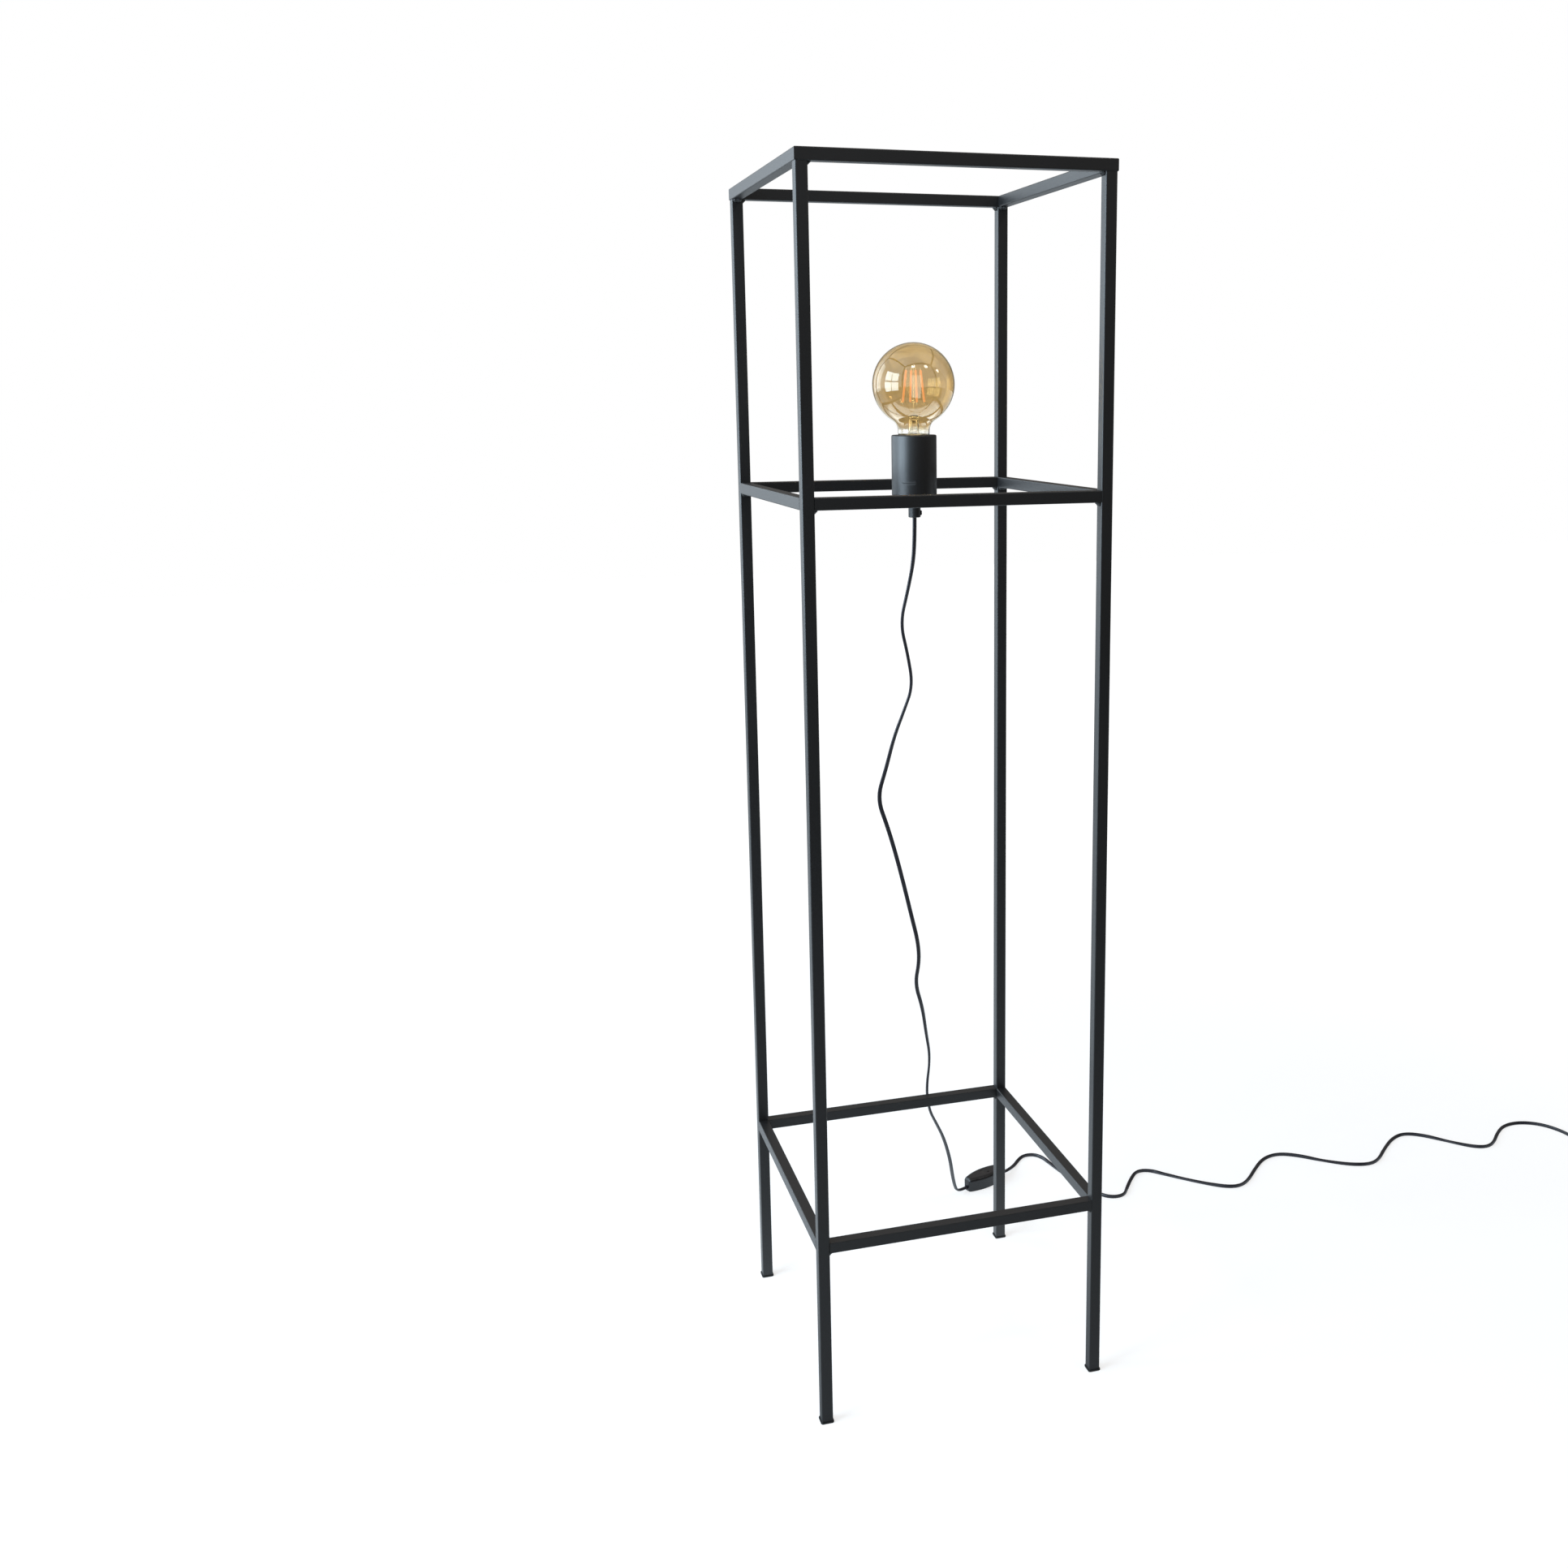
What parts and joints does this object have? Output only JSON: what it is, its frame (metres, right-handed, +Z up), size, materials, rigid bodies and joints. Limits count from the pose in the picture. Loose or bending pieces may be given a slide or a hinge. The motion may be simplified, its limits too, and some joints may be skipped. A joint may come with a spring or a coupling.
{
  "type": "floor lamp",
  "caption": "Tall open cage floor lamp of square steel tube with a bare globe bulb in a cup lampholder, and a flat cord with inline switch and plug.",
  "frame": {"origin": "centre of the cage's base, on the floor under the undersides of the four feet", "axes": "+Z up along the lamp, +X to the right seen from the front, -Y towards the viewer; the cord lies on the floor towards +X"},
  "size_m": [1.3919, 0.5624, 1.42],
  "materials": {
    "frame_paint": "satin near-black powder coat over square steel tube",
    "cup_paint": "satin near-black lacquer on drawn steel",
    "foot_plastic": "matt black moulded polyethylene",
    "grip_plastic": "black nylon, slightly glossy",
    "zinc_steel": "zinc-plated steel",
    "socket_plastic": "black thermoset",
    "ceramic": "unglazed white ceramic",
    "brass": "bright brass",
    "core_insulation": "coloured core insulation",
    "amber_glass": "clear amber-tinted blown glass, untinted at the neck",
    "clear_glass": "clear glass",
    "cap_metal": "pressed nickel-plated screw cap",
    "black_glass": "black vitreous insulator",
    "solder": "solder dot",
    "filament": "orange phosphor-coated stick",
    "switch_plastic": "black moulded plastic, semi-gloss",
    "rocker_plastic": "black moulded plastic, semi-gloss",
    "cord_sheath": "smooth black vinyl sheath with a cool sheen",
    "plug_plastic": "black moulded vinyl, finely textured"
  },
  "bodies": {
    "lamp": {"cord_coil": "cord_sheath", "cord_grip": "grip_plastic", "cord_grip_screw": "grip_plastic", "cord_lower": "cord_sheath", "cord_tail": "cord_sheath", "cord_upper": "cord_sheath", "foot_plug_back_left": "foot_plastic", "foot_plug_back_right": "foot_plastic", "foot_plug_front_left": "foot_plastic", "foot_plug_front_right": "foot_plastic", "holder_strip": "frame_paint", "lampholder_cup": "cup_paint", "lock_nuts": "zinc_steel", "low_rail_back": "frame_paint", "low_rail_front": "frame_paint", "low_rail_left": "frame_paint", "low_rail_right": "frame_paint", "middle_rail_back": "frame_paint", "middle_rail_front": "frame_paint", "middle_rail_left": "frame_paint", "middle_rail_right": "frame_paint", "plug_body": "plug_plastic", "plug_pin_sleeves": "plug_plastic", "plug_pins": "brass", "plug_relief": "plug_plastic", "post_back_left": "frame_paint", "post_back_right": "frame_paint", "post_front_left": "frame_paint", "post_front_right": "frame_paint", "socket_cap": "socket_plastic", "socket_contacts": "brass", "socket_cores": "core_insulation", "socket_insert": "ceramic", "socket_sleeve": "socket_plastic", "socket_thread_shell": "brass", "switch_base": "switch_plastic", "switch_contacts": "brass", "switch_cores": "core_insulation", "switch_cover": "switch_plastic", "switch_screws": "zinc_steel", "terminal_screws": "brass", "threaded_nipple": "zinc_steel", "top_rail_back": "frame_paint", "top_rail_front": "frame_paint", "top_rail_left": "frame_paint", "top_rail_right": "frame_paint", "welds_low": "frame_paint", "welds_middle": "frame_paint", "welds_top": "frame_paint"},
    "bulb_contact": {"bulb_tip_contact": "solder"},
    "bulb": {"bulb_glass": "amber_glass", "bulb_cap": "cap_metal", "bulb_insulator": "black_glass", "bulb_stem": "clear_glass", "bulb_lead_wires": "zinc_steel", "bulb_filaments": "filament"},
    "rocker": {"switch_rocker": "rocker_plastic"}
  },
  "joints": [
    {"name": "bulb_lift", "type": "slide", "parent": "lamp", "child": "bulb_contact", "axis": [0, 0, 1], "range_m": [0, 0.02177]},
    {"name": "bulb_turn", "type": "hinge", "parent": "bulb_contact", "child": "bulb", "pos_m": [0, 0, 1.11], "axis": [0, 0, 1], "range_deg": [0, 2160]},
    {"name": "switch_rocker_tilt", "type": "hinge", "parent": "lamp", "child": "rocker", "pos_m": [0.1995, 0.321, 0.0152], "axis": [-0.3843, 0.9232, 0], "range_deg": [0, 13]}
  ],
  "couplings": [
    {"joint": "bulb_lift", "follows": "bulb_turn", "m_per_rad": 0.00057757}
  ]
}
